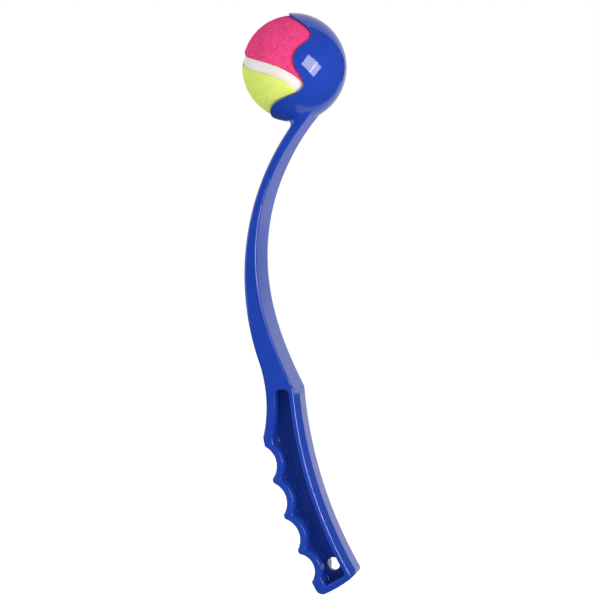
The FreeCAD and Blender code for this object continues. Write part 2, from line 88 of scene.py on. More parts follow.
class Shader:
    """A node tree that is filled one node at a time.

    Args:
        tree: the material's, group's or world's node tree.
    """

    def __init__(self, tree: bpy.types.NodeTree) -> None:
        """Keeps the node tree."""
        self.tree = tree

    def node(self, kind: str, settings: dict | None = None, **inputs: object) -> bpy.types.Node:
        """Adds a node.

        Args:
            kind: the node's bl_idname.
            settings: attributes of the node, such as its operation.
            inputs: socket names, with a space written as "_", and a plain value or an output socket.

        Returns:
            The new node.
        """
        made = self.tree.nodes.new(kind)
        for name, value in (settings or {}).items():
            setattr(made, name, value)
        for name, value in inputs.items():
            self.feed(made.inputs[name.replace("_", " ")], value)
        return made

    def feed(self, socket: NodeSocket, value: object) -> None:
        """Links an output socket to a socket, or sets a plain value on it.

        Args:
            socket: the input socket.
            value: the output socket or the plain value. A colour may have three numbers.
        """
        if isinstance(value, NodeSocket):
            self.tree.links.new(value, socket)
        elif socket.type == "RGBA" and len(value) == 3:
            socket.default_value = (*value, 1.0)
        else:
            socket.default_value = value

    def maths(self, operation: str, first: object, second: object = 0.0, clamp: bool = False) -> NodeSocket:
        """Does sums on one or two values.

        Args:
            operation: the sum, as the Math node names it.
            first: the first value.
            second: the second value, which some sums don't use.
            clamp: whether the result is kept between 0 and 1.

        Returns:
            The result's socket.
        """
        made = self.node("ShaderNodeMath", {"operation": operation, "use_clamp": clamp})
        self.feed(made.inputs[0], first)
        self.feed(made.inputs[1], second)
        return made.outputs["Value"]

    def between(self, value: object, low: float, high: float, to_low: float = 0.0, to_high: float = 1.0) -> NodeSocket:
        """Maps a value smoothly from one range to another.

        Args:
            value: the value that changes over the surface.
            low: the value that gives to_low.
            high: the value that gives to_high.
            to_low: the result at and below low.
            to_high: the result at and above high.

        Returns:
            The mapped value's socket.
        """
        made = self.node("ShaderNodeMapRange", {"interpolation_type": "SMOOTHSTEP"})
        for name, number in (("From Min", low), ("From Max", high), ("To Min", to_low), ("To Max", to_high)):
            made.inputs[name].default_value = number
        self.feed(made.inputs["Value"], value)
        return made.outputs["Result"]

    def mix(self, share: object, first: object, second: object) -> NodeSocket:
        """Mixes two colours.

        Args:
            share: how much of the second colour there is, from 0 to 1.
            first: the first colour.
            second: the second colour.

        Returns:
            The mixed colour's socket.
        """
        made = self.node("ShaderNodeMix", {"data_type": "RGBA"})
        self.feed(made.inputs[MIX_SHARE], share)
        self.feed(made.inputs[MIX_FIRST], first)
        self.feed(made.inputs[MIX_SECOND], second)
        return made.outputs[MIX_RESULT]

    def vector(self, operation: str, first: object, second: Colour, output: str = "Vector") -> NodeSocket:
        """Does sums on a vector and a fixed one.

        Args:
            operation: the sum, as the Vector Math node names it.
            first: the vector that changes over the surface.
            second: the fixed vector.
            output: the result's name, which is "Value" where the result is a number.

        Returns:
            The result's socket.
        """
        made = self.node("ShaderNodeVectorMath", {"operation": operation})
        self.feed(made.inputs[0], first)
        made.inputs[1].default_value = second
        return made.outputs[output]

    def noise(
        self, vector: object, scale: float, detail: float = 2.0, roughness: float = 0.5, distortion: float = 0.0
    ) -> NodeSocket:
        """Adds a noise texture.

        Args:
            vector: where on the surface, in millimetres.
            scale: waves to the millimetre.
            detail: octaves of finer noise.
            roughness: how strong the finer noise is.
            distortion: how far the noise swirls.

        Returns:
            The noise value's socket, about 0.5 on average.
        """
        look = {"Scale": scale, "Detail": detail, "Roughness": roughness, "Distortion": distortion}
        return self.node("ShaderNodeTexNoise", {"noise_dimensions": "3D"}, Vector=vector, **look).outputs["Fac"]

    def millimetres(self) -> NodeSocket:
        """Adds the surface's own coordinates.

        Returns:
            Their socket, in millimetres.
        """
        place = self.node("ShaderNodeTexCoord")
        scaled = self.node("ShaderNodeVectorMath", {"operation": "SCALE"})
        self.feed(scaled.inputs[0], place.outputs["Object"])
        scaled.inputs["Scale"].default_value = 1.0 / MM
        return scaled.outputs["Vector"]


class ShaderGroup(Shader):
    """A shader node group with named inputs and outputs."""

    def __init__(
        self, name: str, inputs: list[tuple[str, Socket, float | None]], outputs: list[tuple[str, Socket]]
    ) -> None:
        """Makes the group's tree and its sockets.

        Args:
            name: the group's name.
            inputs: each input's name, kind and usual value.
            outputs: each output's name and kind.
        """
        self.group = bpy.data.node_groups.new(name, "ShaderNodeTree")
        for label, kind, usual in inputs:
            made = self.group.interface.new_socket(label, in_out="INPUT", socket_type=kind.value)
            if usual is not None:
                made.default_value = usual
        for label, kind in outputs:
            self.group.interface.new_socket(label, in_out="OUTPUT", socket_type=kind.value)
        super().__init__(self.group)
        self.given = self.tree.nodes.new("NodeGroupInput").outputs
        self.result = self.tree.nodes.new("NodeGroupOutput").inputs

    def give(self, **results: object) -> None:
        """Links results to the group's outputs, with a space written as "_"."""
        for name, value in results.items():
            self.feed(self.result[name.replace("_", " ")], value)

    def place(self, shader: Shader, **inputs: object) -> bpy.types.bpy_prop_collection:
        """Places the group in a material.

        Args:
            shader: the material's shader builder.
            inputs: the group's inputs, with a space written as "_", and a plain value or an output socket.

        Returns:
            The placed group's outputs.
        """
        made = shader.tree.nodes.new("ShaderNodeGroup")
        made.node_tree = self.group
        for name, value in inputs.items():
            shader.feed(made.inputs[name.replace("_", " ")], value)
        return made.outputs


@dataclass
class Effects:
    """The surface effects that several finishes share, each a shader group that is built once.

    The flow marks are stretched along the stick by flow_stretch, and peel is the fine ripple's height. The
    shares say how much of the curls, the tufts and the patches go into the nap's shade and height.
    """

    flow_stretch: tuple[float, float, float] = (1.0, 1.0, 0.3)
    peel: float = 0.05
    shade_shares: tuple[float, float, float] = (0.4, 0.45, 0.15)
    height_shares: tuple[float, float] = (0.7, 0.6)
    moulding: ShaderGroup = field(init=False)
    dust: ShaderGroup = field(init=False)
    nap: ShaderGroup = field(init=False)

    def __post_init__(self) -> None:
        """Builds the groups."""
        self.moulding = self.build_moulding()
        self.dust = self.build_dust()
        self.nap = self.build_nap()

    def build_moulding(self) -> ShaderGroup:
        """Builds the flow marks, polish and slight ripple of a moulded surface.

        Returns:
            The group.
        """
        group = ShaderGroup(
            "moulded_surface",
            [("Place", Socket.VECTOR, None), ("Ripple Share", Socket.VALUE, 0.5)],
            [("Flow", Socket.VALUE), ("Polish", Socket.VALUE), ("Height", Socket.VALUE)],
        )
        place = group.given["Place"]
        stretched = group.vector("MULTIPLY", place, self.flow_stretch)
        flow = group.noise(stretched, 0.045, detail=3.0, distortion=0.6)
        smear = group.noise(place, 0.09, detail=4.0, roughness=0.6, distortion=1.2)
        grain = group.noise(place, 5.0, detail=2.0)
        ripple = group.noise(place, 0.11, detail=1.0)
        peel = group.maths("MULTIPLY", group.maths("SUBTRACT", grain, NOISE_MEAN), self.peel)
        wave = group.maths("MULTIPLY", group.maths("SUBTRACT", ripple, NOISE_MEAN), group.given["Ripple Share"])
        group.give(
            Flow=group.between(flow, 0.3, 0.7),
            Polish=group.between(smear, 0.35, 0.7),
            Height=group.maths("ADD", peel, wave),
        )
        return group

    def build_dust(self) -> ShaderGroup:
        """Builds the fine specks of dust that lie on what faces up.

        Returns:
            The group.
        """
        group = ShaderGroup(
            "settled_dust",
            [("Place", Socket.VECTOR, None), ("Amount", Socket.VALUE, 0.1)],
            [("Mask", Socket.VALUE)],
        )
        place = group.given["Place"]
        facing = group.node("ShaderNodeNewGeometry")
        parts = group.node("ShaderNodeSeparateXYZ", Vector=facing.outputs["Normal"])
        up = group.between(parts.outputs["Z"], -0.6, 1.0, 0.25, 1.0)
        specks = group.between(group.noise(place, 3.2, detail=3.0), 0.64, 0.74)
        film = group.between(group.noise(place, 0.12, detail=3.0), 0.3, 0.8, 0.0, 0.3)
        laid = group.maths("MULTIPLY", up, group.maths("ADD", specks, film))
        group.give(Mask=group.maths("MULTIPLY", laid, group.given["Amount"], clamp=True))
        return group

    def build_nap(self) -> ShaderGroup:
        """Builds the curled fibres, tufts, flecks and lint of a felt nap.

        Returns:
            The group.
        """
        group = ShaderGroup(
            "felt_nap",
            [("Place", Socket.VECTOR, None), ("Fleck Share", Socket.VALUE, 0.5)],
            [("Shade", Socket.VALUE), ("Fleck", Socket.VALUE), ("Lint", Socket.VALUE), ("Height", Socket.VALUE)],
        )
        place = group.given["Place"]
        curls = group.noise(place, 1.9, detail=5.0, roughness=0.62, distortion=2.2)
        tufts = group.noise(place, 0.42, detail=3.0, roughness=0.6, distortion=0.8)
        patches = group.noise(place, 0.09, detail=2.0)
        specks = group.noise(place, 0.55, detail=3.0, roughness=0.65, distortion=1.0)
        curled, tufted, patched = self.shade_shares
        shade = group.maths("ADD", group.maths("MULTIPLY", curls, curled), group.maths("MULTIPLY", tufts, tufted))
        shade = group.maths("ADD", shade, group.maths("MULTIPLY", patches, patched))
        flecks = group.between(specks, 0.48, 0.66)
        lint_noise = group.noise(place, 1.35, detail=2.0, roughness=0.5, distortion=0.4)
        lint = group.between(lint_noise, 0.66, 0.74)
        curled, tufted = self.height_shares
        height = group.maths("ADD", group.maths("MULTIPLY", curls, curled), group.maths("MULTIPLY", tufts, tufted))
        group.give(
            Shade=group.between(shade, 0.32, 0.66),
            Fleck=group.maths("MULTIPLY", flecks, group.given["Fleck Share"]),
            Lint=lint,
            Height=height,
        )
        return group


# ---- Finishes ----


def emptied(holder: bpy.types.Material | bpy.types.World) -> Shader:
    """Empties the node tree of a material or a world.

    Args:
        holder: the material or the world.

    Returns:
        Its shader builder.
    """
    holder.use_nodes = True
    holder.node_tree.nodes.clear()
    return Shader(holder.node_tree)


def new_material(name: str) -> tuple[bpy.types.Material, Shader, bpy.types.Node]:
    """Makes a material with an empty Principled shader.

    Args:
        name: the material's name.

    Returns:
        The material, its shader builder and its Principled node.
    """
    material = bpy.data.materials.new(name)
    shader = emptied(material)
    surface = shader.node("ShaderNodeBsdfPrincipled")
    shader.node("ShaderNodeOutputMaterial", Surface=surface.outputs["BSDF"])
    return material, shader, surface


def add_bump(
    shader: Shader, surface: bpy.types.Node, height: NodeSocket, depth: float, strength: float
) -> bpy.types.Node:
    """Feeds a height to a Principled node's normal.

    Args:
        shader: the material's shader builder.
        surface: the Principled node.
        height: the height's socket.
        depth: how deep a height of 1 is, in millimetres.
        strength: the bump's strength.

    Returns:
        The bump node.
    """
    bump = shader.node("ShaderNodeBump", Height=height)
    bump.inputs["Strength"].default_value = strength
    bump.inputs["Distance"].default_value = depth * MM
    shader.feed(surface.inputs["Normal"], bump.outputs["Normal"])
    return bump


@dataclass(frozen=True)
class WitnessMarks:
    """Marks that the mould leaves on the stick, in millimetres and degrees.

    line_core and pin_core are the shares of the half width and the radius that stand at full height. The
    pin's print shows within print_reach of the stick's middle plane, and fades out over print_fade. The
    draft fades out over draft_top, and sets in as the normal's x goes through back_facing.
    """

    line_half_width: float = 0.16
    line_core: float = 0.3
    pin_place: tuple[float, float, float] = (-35.2, 0.0, 74.8)
    pin_radius: float = 0.9
    pin_core: float = 0.4
    print_reach: float = 3.0
    print_fade: float = 0.5
    draft: float = 3.0
    crown: float = 0.001
    draft_top: tuple[float, float] = (103.0, 105.5)
    back_facing: tuple[float, float] = (0.55, 0.75)


@dataclass(frozen=True)
class GlossyBlue:
    """Royal blue plastic straight from a polished mould."""

    base: Colour = (0.010, 0.046, 0.36)
    deep: Colour = (0.008, 0.039, 0.32)
    # dust is also the paler colour of the painted highlight on the pin's print
    dust: Colour = (0.35, 0.38, 0.48)
    smooth: float = 0.04
    dull: float = 0.1
    ior: float = 1.49
    ripple: float = 0.5
    dust_share: float = 0.06
    # How much of the pin's print is painted paler in the dust colour: a painted highlight
    pin_highlight_share: float = 0.45
    pin_height: float = 12.0
    bump_depth: float = 0.04
    bump_strength: float = 0.6
    marks: WitnessMarks = WitnessMarks()

    def drafted(self, shader: Shader, place: NodeSocket) -> bpy.types.Node:
        """The grip's back, whose two halves lean a little to either side so that the mould lets go.

        Args:
            shader: the material's shader builder.
            place: the surface's coordinates in millimetres.

        Returns:
            The bump node that leans the surface.
        """
        parts = shader.node("ShaderNodeSeparateXYZ", Vector=place)
        aside = shader.maths("ABSOLUTE", parts.outputs["Y"])
        lean = shader.maths("MULTIPLY", aside, -math.tan(math.radians(self.marks.draft)))
        crown = shader.maths("MULTIPLY", shader.maths("MULTIPLY", aside, aside), -self.marks.crown)
        fall = shader.maths("ADD", lean, crown)
        facing = shader.node("ShaderNodeSeparateXYZ", Vector=shader.node("ShaderNodeTexCoord").outputs["Normal"])
        behind = shader.between(facing.outputs["X"], *self.marks.back_facing)
        below = shader.between(parts.outputs["Z"], *self.marks.draft_top, 1.0, 0.0)
        bump = shader.node("ShaderNodeBump", Strength=shader.maths("MULTIPLY", behind, below), Height=fall)
        bump.inputs["Distance"].default_value = MM
        return bump

    @staticmethod
    def aside(shader: Shader, place: NodeSocket) -> NodeSocket:
        """How far a place is from the stick's middle plane, in millimetres."""
        return shader.maths("ABSOLUTE", shader.node("ShaderNodeSeparateXYZ", Vector=place).outputs["Y"])

    def pin_print(self, shader: Shader, place: NodeSocket) -> NodeSocket:
        """The round print of the ejector pin on the web of each pocket. Its mask also places a painted highlight on
        the print.

        Args:
            shader: the material's shader builder.
            place: the surface's coordinates in millimetres.

        Returns:
            The print's mask socket, 0 away from it.
        """
        marks = self.marks
        aside = self.aside(shader, place)
        flat = shader.vector("MULTIPLY", place, (1.0, 0.0, 1.0))
        away = shader.vector("DISTANCE", flat, marks.pin_place, "Value")
        print_edge = shader.between(away, marks.pin_core * marks.pin_radius, marks.pin_radius, 1.0, 0.0)
        on_web = shader.between(aside, marks.print_reach, marks.print_reach + marks.print_fade, 1.0, 0.0)
        return shader.maths("MULTIPLY", print_edge, on_web)

    def parting_line(self, shader: Shader, place: NodeSocket) -> NodeSocket:
        """The raised parting line round the stick's middle.

        Args:
            shader: the material's shader builder.
            place: the surface's coordinates in millimetres.

        Returns:
            The line's mask socket, 0 away from it.
        """
        half = self.marks.line_half_width
        return shader.between(self.aside(shader, place), self.marks.line_core * half, half, 1.0, 0.0)

    def material(self, effects: Effects) -> bpy.types.Material:
        """Builds the finish.

        Args:
            effects: the shared surface effects.

        Returns:
            The material.
        """
        material, shader, surface = new_material("glossy_blue_plastic")
        place = shader.millimetres()
        moulded = effects.moulding.place(shader, Place=place, Ripple_Share=self.ripple)
        dusty = effects.dust.place(shader, Place=place, Amount=self.dust_share)
        pin = self.pin_print(shader, place)
        body = shader.mix(moulded["Flow"], self.base, self.deep)
        # The pin's print is painted paler in the dust colour, a painted highlight where the lamps give it no glint
        pin_highlighted = shader.mix(shader.maths("MULTIPLY", pin, self.pin_highlight_share), body, self.dust)
        shader.feed(surface.inputs["Base Color"], shader.mix(dusty["Mask"], pin_highlighted, self.dust))
        shine = shader.between(moulded["Polish"], 0.0, 1.0, self.smooth, self.dull)
        shader.feed(surface.inputs["Roughness"], shader.maths("ADD", shine, dusty["Mask"], clamp=True))
        ridges = shader.maths("ADD", self.parting_line(shader, place), shader.maths("MULTIPLY", pin, self.pin_height))
        height = shader.maths("ADD", moulded["Height"], ridges)
        bump = add_bump(shader, surface, height, self.bump_depth, self.bump_strength)
        shader.feed(bump.inputs["Normal"], self.drafted(shader, place).outputs["Normal"])
        surface.inputs["IOR"].default_value = self.ior
        return material


@dataclass(frozen=True)
class NappedFelt:
    """Short, dense felt in one dyed colour."""

    name: str
    base: Colour
    shadow: Colour
    bright: Colour
    lint: Colour
    fleck_share: float
    lint_share: float = 0.4
    matte: float = 0.98
    brushed: float = 0.84
    specular: float = 0.1
    sheen: float = 0.25
    sheen_roughness: float = 0.55
    bump_depth: float = 0.35
    bump_strength: float = 0.7

    def material(self, effects: Effects) -> bpy.types.Material:
        """Builds the finish.

        Args:
            effects: the shared surface effects.

        Returns:
            The material.
        """
        material, shader, surface = new_material(self.name)
        place = shader.millimetres()
        nap = effects.nap.place(shader, Place=place, Fleck_Share=self.fleck_share)
        dyed = shader.mix(nap["Shade"], self.base, self.bright)
        flecked = shader.mix(nap["Fleck"], dyed, self.shadow)
        linted = shader.mix(shader.maths("MULTIPLY", nap["Lint"], self.lint_share), flecked, self.lint)
        shader.feed(surface.inputs["Base Color"], linted)
        shader.feed(surface.inputs["Roughness"], shader.between(nap["Shade"], 0.0, 1.0, self.matte, self.brushed))
        add_bump(shader, surface, nap["Height"], self.bump_depth, self.bump_strength)
        surface.inputs["Specular IOR Level"].default_value = self.specular
        surface.inputs["Sheen Weight"].default_value = self.sheen
        surface.inputs["Sheen Roughness"].default_value = self.sheen_roughness
        surface.inputs["Sheen Tint"].default_value = (*self.bright, 1.0)
        return material


@dataclass(frozen=True)
class MatteRubber:
    """Plain moulded rubber."""

    name: str
    base: Colour
    deep: Colour
    dust: Colour
    smooth: float
    dull: float
    dust_share: float
    ior: float = 1.5
    ripple: float = 2.0
    bump_depth: float = 0.06
    bump_strength: float = 0.6

    def material(self, effects: Effects) -> bpy.types.Material:
        """Builds the finish.

        Args:
            effects: the shared surface effects.

        Returns:
            The material.
        """
        material, shader, surface = new_material(self.name)
        place = shader.millimetres()
        moulded = effects.moulding.place(shader, Place=place, Ripple_Share=self.ripple)
        dusty = effects.dust.place(shader, Place=place, Amount=self.dust_share)
        body = shader.mix(moulded["Flow"], self.base, self.deep)
        shader.feed(surface.inputs["Base Color"], shader.mix(dusty["Mask"], body, self.dust))
        shader.feed(surface.inputs["Roughness"], shader.between(moulded["Polish"], 0.0, 1.0, self.smooth, self.dull))
        add_bump(shader, surface, moulded["Height"], self.bump_depth, self.bump_strength)
        surface.inputs["IOR"].default_value = self.ior
        return material


PINK_FELT = NappedFelt(
    name="pink_felt_nap",
    base=(0.635, 0.037, 0.147),
    shadow=(0.45, 0.02, 0.093),
    bright=(0.75, 0.066, 0.24),
    lint=(0.90, 0.26, 0.42),
    fleck_share=0.5,
)
YELLOW_GREEN_FELT = NappedFelt(
    name="yellow_green_felt_nap",
    base=(0.585, 0.70, 0.135),
    shadow=(0.475, 0.60, 0.11),
    bright=(0.635, 0.76, 0.17),
    lint=(0.80, 0.86, 0.42),
    fleck_share=0.45,
)
SEAM_RUBBER = MatteRubber(
    name="off_white_seam_rubber",
    base=(0.73, 0.70, 0.68),
    deep=(0.67, 0.64, 0.62),
    dust=(0.58, 0.55, 0.51),
    smooth=0.38,
    dull=0.55,
    dust_share=0.1,
)
CORE_RUBBER = MatteRubber(
    name="dark_core_rubber",
    base=(0.05, 0.05, 0.05),
    deep=(0.035, 0.035, 0.036),
    dust=(0.3, 0.29, 0.27),
    smooth=0.5,
    dull=0.72,
    dust_share=0.2,
)


# ---- The ball ----


@dataclass(frozen=True)
class BallSizes:
    """Sizes of the ball in millimetres, with the centre as it sits in the cup."""

    centre: tuple[float, float, float] = (-26.6, 0.0, 307.3)
    felt_inside: float = 28.62
    felt_base: float = 31.3
    seam_top: float = 30.88
    seam_half_width: float = 3.4
    seam_lobe: float = 0.76
    seam_turn: tuple[float, float, float] = (56.0, -4.0, -73.0)
    seam_samples: int = 1440


@dataclass(frozen=True)
class NapSizes:
    """How the felt's nap stands, in millimetres.

    spring_back is how much of the gap to the cup the pressed nap rises. The waves are the coarse and the
    fine noise's waves to the millimetre, and fine_tuft and fine_edge are the fine noise's shares. The edge
    is ragged within edge_zone of the seam's middle, edge_row is the share of the roll at which it gets a
    row of points, and points within snap of a row are moved onto it.
    """

    standing: float = 0.42
    pressed: float = 0.1
    cup_gap: float = 0.3
    cup_reach: float = 10.0
    spring_back: float = 0.45
    tuft: float = 0.16
    tuft_waves: tuple[float, float] = (0.55, 1.15)
    fine_tuft: float = 0.8
    fine_tuft_shift: tuple[float, float, float] = (7.0, 3.0, 5.0)
    edge_overhang: float = 0.16
    edge_ragged: float = 0.24
    edge_waves: tuple[float, float] = (0.9, 2.1)
    fine_edge: float = 0.6
    edge_zone: float = 8.0
    edge_clearance: float = 0.07
    edge_roll: float = 1.1
    edge_row: float = 0.35
    edge_drop: float = 0.5
    snap: float = 0.17


class SeamLine:
    """The ball's seam as a closed line on a sphere, and the distance to it."""

    def __init__(self, sizes: BallSizes) -> None:
        """Keeps the sizes and samples the line.

        Args:
            sizes: the ball's sizes.
        """
        self.sizes = sizes
        self.points: list[Vector] = []
        self.sideways: list[Vector] = []
        self.tree = KDTree(sizes.seam_samples)
        self.sample()

    def sample(self) -> None:
        """Fills in the line's points and, at each, the direction across it."""
        about_x, about_y, about_z = (math.radians(angle) for angle in reversed(self.sizes.seam_turn))
        turn = (
            Matrix.Rotation(about_z, 3, "Z") @ Matrix.Rotation(about_y, 3, "Y") @ Matrix.Rotation(about_x, 3, "X")
        )
        count = self.sizes.seam_samples
        ring = [turn @ self.at(math.tau * step / count) for step in range(count)]
        for step, point in enumerate(ring):
            along = ring[(step + 1) % count] - ring[step - 1]
            self.points.append(point)
            self.sideways.append(point.cross(along).normalized())
            self.tree.insert(point, step)
        self.tree.balance()

    def at(self, angle: float) -> Vector:
        """Finds a point of the seam before the ball is turned.

        Args:
            angle: how far along the seam it is, in radians, with a full turn for the whole seam.

        Returns:
            The point on a unit sphere.
        """
        wide = self.sizes.seam_lobe
        narrow = 1.0 - wide
        return Vector(
            (
                wide * math.cos(angle) + narrow * math.cos(3.0 * angle),
                wide * math.sin(angle) - narrow * math.sin(3.0 * angle),
                2.0 * math.sqrt(wide * narrow) * math.sin(2.0 * angle),
            )
        ).normalized()

    def nearest(self, direction: Vector) -> tuple[float, Vector]:
        """Measures from the seam's middle line.

        Args:
            direction: a unit vector from the ball's centre.

        Returns:
            The signed distance on the felt's surface in millimetres, and the direction across the seam there.
        """
        index = self.tree.find(direction)[1]
        across = self.sideways[index]
        lean = max(-1.0, min(1.0, direction.dot(across)))
        return self.sizes.felt_base * math.asin(lean), across


@dataclass
class FeltSkin:
    """A triangle mesh on the unit sphere that is trimmed along lines parallel to the seam."""

    seam: SeamLine
    side: PanelSide
    nap: NapSizes
    points: list[Vector] = field(default_factory=list)
    reach: list[float] = field(default_factory=list)
    triangles: list[Triangle] = field(default_factory=list)
    fineness: int = 7

    def build(self) -> None:
        """Makes the sphere's mesh, trims it at the felt's edge and adds rows of points for the rolled edge."""
        mesh = bmesh.new()
        bmesh.ops.create_icosphere(mesh, subdivisions=self.fineness, radius=1.0)
        self.points = [vertex.co.normalized() for vertex in mesh.verts]
        self.triangles = [tuple(vertex.index for vertex in face.verts) for face in mesh.faces]
        mesh.free()
        self.reach = [self.reach_at(point) for point in self.points]
        self.cut(0.0, trim=True)
        self.cut(self.nap.edge_row * self.nap.edge_roll, trim=False)
        self.cut(self.nap.edge_roll, trim=False)

    def distance_at(self, direction: Vector) -> tuple[float, Vector]:
        """The distance from the seam's middle, positive on this panel's side, and the way into the panel."""
        distance, across = self.seam.nearest(direction)
        return self.side.value * distance, self.side.value * across

    def reach_at(self, direction: Vector) -> float:
        """Measures from the felt's slightly ragged edge.

        Args:
            direction: a unit vector from the ball's centre.

        Returns:
            How far into the felt it is, in millimetres.
        """
        nap = self.nap
        distance = self.distance_at(direction)[0]
        if distance > nap.edge_zone:
            return distance
        place = direction * self.seam.sizes.felt_base
        coarse, fine = nap.edge_waves
        ragged = noise.noise(place * coarse) + nap.fine_edge * noise.noise(place * fine)
        edge = self.seam.sizes.seam_half_width - nap.edge_overhang + nap.edge_ragged * ragged
        return distance - edge

    def shifted(self, direction: Vector, step: float) -> Vector:
        """A direction moved by a step in millimetres away from the seam."""
        inward = self.distance_at(direction)[1]
        return (direction + inward * (step / self.seam.sizes.felt_base)).normalized()

    def cut(self, level: float, trim: bool) -> None:
        """Splits the triangles along a line at one reach.

        Args:
            level: the reach of the line, in millimetres.
            trim: whether what is nearer the seam is thrown away.
        """
        for index, reach in enumerate(self.reach):
            if abs(reach - level) < self.nap.snap:
                self.points[index] = self.shifted(self.points[index], level - reach)
                self.reach[index] = level
        crossings: dict[Edge, int] = {}
        kept: list[Triangle] = []
        for triangle in self.triangles:
            above = [self.reach[index] > level for index in triangle]
            below = [self.reach[index] < level for index in triangle]
            if not any(below):
                kept.append(triangle)
                continue
            if not any(above):
                if not trim:
                    kept.append(triangle)
                continue
            kept.extend(self.split(triangle, level, trim, crossings))
        self.triangles = kept

    def split(
        self, triangle: Triangle, level: float, trim: bool, crossings: dict[Edge, int]
    ) -> list[Triangle]:
        """Splits one triangle that a line crosses.

        Args:
            triangle: the triangle's corners.
            level: the reach of the line.
            trim: whether the part nearer the seam is thrown away.
            crossings: the points already made on crossed edges.

        Returns:
            The triangles that take its place.
        """
        over: list[int] = []
        under: list[int] = []
        for step, first in enumerate(triangle):
            second = triangle[(step + 1) % 3]
            start = self.reach[first] - level
            end = self.reach[second] - level
            if start >= 0.0:
                over.append(first)
            if start <= 0.0:
                under.append(first)
            if start * end < 0.0:
                middle = self.crossing(first, second, level, crossings)
                over.append(middle)
                under.append(middle)
        made: list[Triangle] = []
        for loop in [over] if trim else [over, under]:
            made.extend((loop[0], loop[step], loop[step + 1]) for step in range(1, len(loop) - 1))
        return made

    def crossing(self, first: int, second: int, level: float, crossings: dict[Edge, int]) -> int:
        """Finds the point where a line crosses an edge, and makes it once for each edge.

        Args:
            first: the edge's first point.
            second: the edge's second point.
            level: the reach of the line.
            crossings: the points already made on crossed edges.

        Returns:
            The point's index.
        """
        key = (min(first, second), max(first, second))
        if key not in crossings:
            start = self.reach[first]
            end = self.reach[second]
            point = self.points[first].lerp(self.points[second], (level - start) / (end - start)).normalized()
            point = self.shifted(point, level - self.reach_at(point))
            crossings[key] = len(self.points)
            self.points.append(point)
            self.reach.append(level)
        return crossings[key]

    def rim(self) -> list[Edge]:
        """Finds the edges of the trimmed mesh that have one triangle.

        Returns:
            Each edge's two points, in that triangle's order.
        """
        once: dict[Edge, Edge] = {}
        for triangle in self.triangles:
            for step, first in enumerate(triangle):
                second = triangle[(step + 1) % 3]
                key = (min(first, second), max(first, second))
                if key in once:
                    del once[key]
                else:
                    once[key] = (first, second)
        return list(once.values())


@dataclass
class FeltPanel:
    """One dog-bone panel of felt, with its nap outside, its cut edge over the seam and its glued inside."""

    side: PanelSide
    finish: NappedFelt
    sizes: BallSizes
    nap: NapSizes

    def height(self, direction: Vector, reach: float, stick: BVHTree) -> float:
        """The radius of the nap's surface.

        Args:
            direction: a unit vector from the ball's centre.
            reach: how far it is from the felt's edge, in millimetres.
            stick: the stick's surface, in metres.

        Returns:
            The radius in millimetres.
        """
        nap = self.nap
        base = self.sizes.felt_base
        centre = Vector(self.sizes.centre)
        gap = stick.find_nearest((centre + direction * base) * MM, nap.cup_reach * MM)[3]
        free = 1.0
        if gap is not None:
            rise = (gap / MM - nap.cup_gap) * nap.spring_back / (nap.standing - nap.pressed)
            free = max(0.0, min(1.0, rise))
        free = free * free * (3.0 - 2.0 * free)
        place = direction * base
        coarse, fine = nap.tuft_waves
        tufts = noise.noise(place * coarse) + nap.fine_tuft * noise.noise(place * fine + Vector(nap.fine_tuft_shift))
        standing = nap.standing + nap.tuft * tufts
        stood = base + nap.pressed + (standing - nap.pressed) * free
        if reach >= nap.edge_roll:
            return stood
        inset = nap.edge_roll - reach
        roll = 1.0 - math.sqrt(max(0.0, 1.0 - (inset / nap.edge_roll) ** 2))
        return stood - nap.edge_drop * roll

    def mesh(self, stick: BVHTree) -> bpy.types.Mesh:
        """Builds the panel's closed mesh.

        Args:
            stick: the stick's surface, in metres.

        Returns:
            The mesh, in metres.
        """
        skin = FeltSkin(SeamLine(self.sizes), self.side, self.nap)
        skin.build()
        used = sorted({index for triangle in skin.triangles for index in triangle})
        centre = Vector(self.sizes.centre)
        clear = self.sizes.seam_half_width + self.nap.edge_clearance
        built = bmesh.new()
        outer: dict[int, bmesh.types.BMVert] = {}
        inner: dict[int, bmesh.types.BMVert] = {}
        lip: dict[int, bmesh.types.BMVert] = {}
        backed: dict[int, Vector] = {}
        for index in used:
            direction = skin.points[index]
            distance = skin.distance_at(direction)[0]
            backed[index] = skin.shifted(direction, clear - distance) if distance < clear else direction
            radius = self.height(direction, skin.reach[index], stick)
            outer[index] = built.verts.new((centre + direction * radius) * MM)
            inner[index] = built.verts.new((centre + backed[index] * self.sizes.felt_inside) * MM)
        for first, second, third in skin.triangles:
            built.faces.new((outer[first], outer[second], outer[third]))
            built.faces.new((inner[third], inner[second], inner[first]))
        rim = skin.rim()
        for index in {index for edge in rim for index in edge}:
            lip[index] = built.verts.new((centre + backed[index] * self.sizes.seam_top) * MM)
        for first, second in rim:
            built.faces.new((outer[second], outer[first], lip[first], lip[second]))
            built.faces.new((lip[second], lip[first], inner[first], inner[second]))
        for face in built.faces:
            face.smooth = True
        made = bpy.data.meshes.new(self.finish.name)
        built.to_mesh(made)
        built.free()
        return made

    def build(self, stick: BVHTree, effects: Effects) -> bpy.types.Object:
        """Makes the panel and puts it in place of its plain solid.

        Args:
            stick: the stick's surface, in metres.
            effects: the shared surface effects.

        Returns:
            The panel.
        """
        panel = bpy.data.objects.new(self.finish.name, self.mesh(stick))
        bpy.context.scene.collection.objects.link(panel)
        panel.data.materials.append(self.finish.material(effects))
        return panel


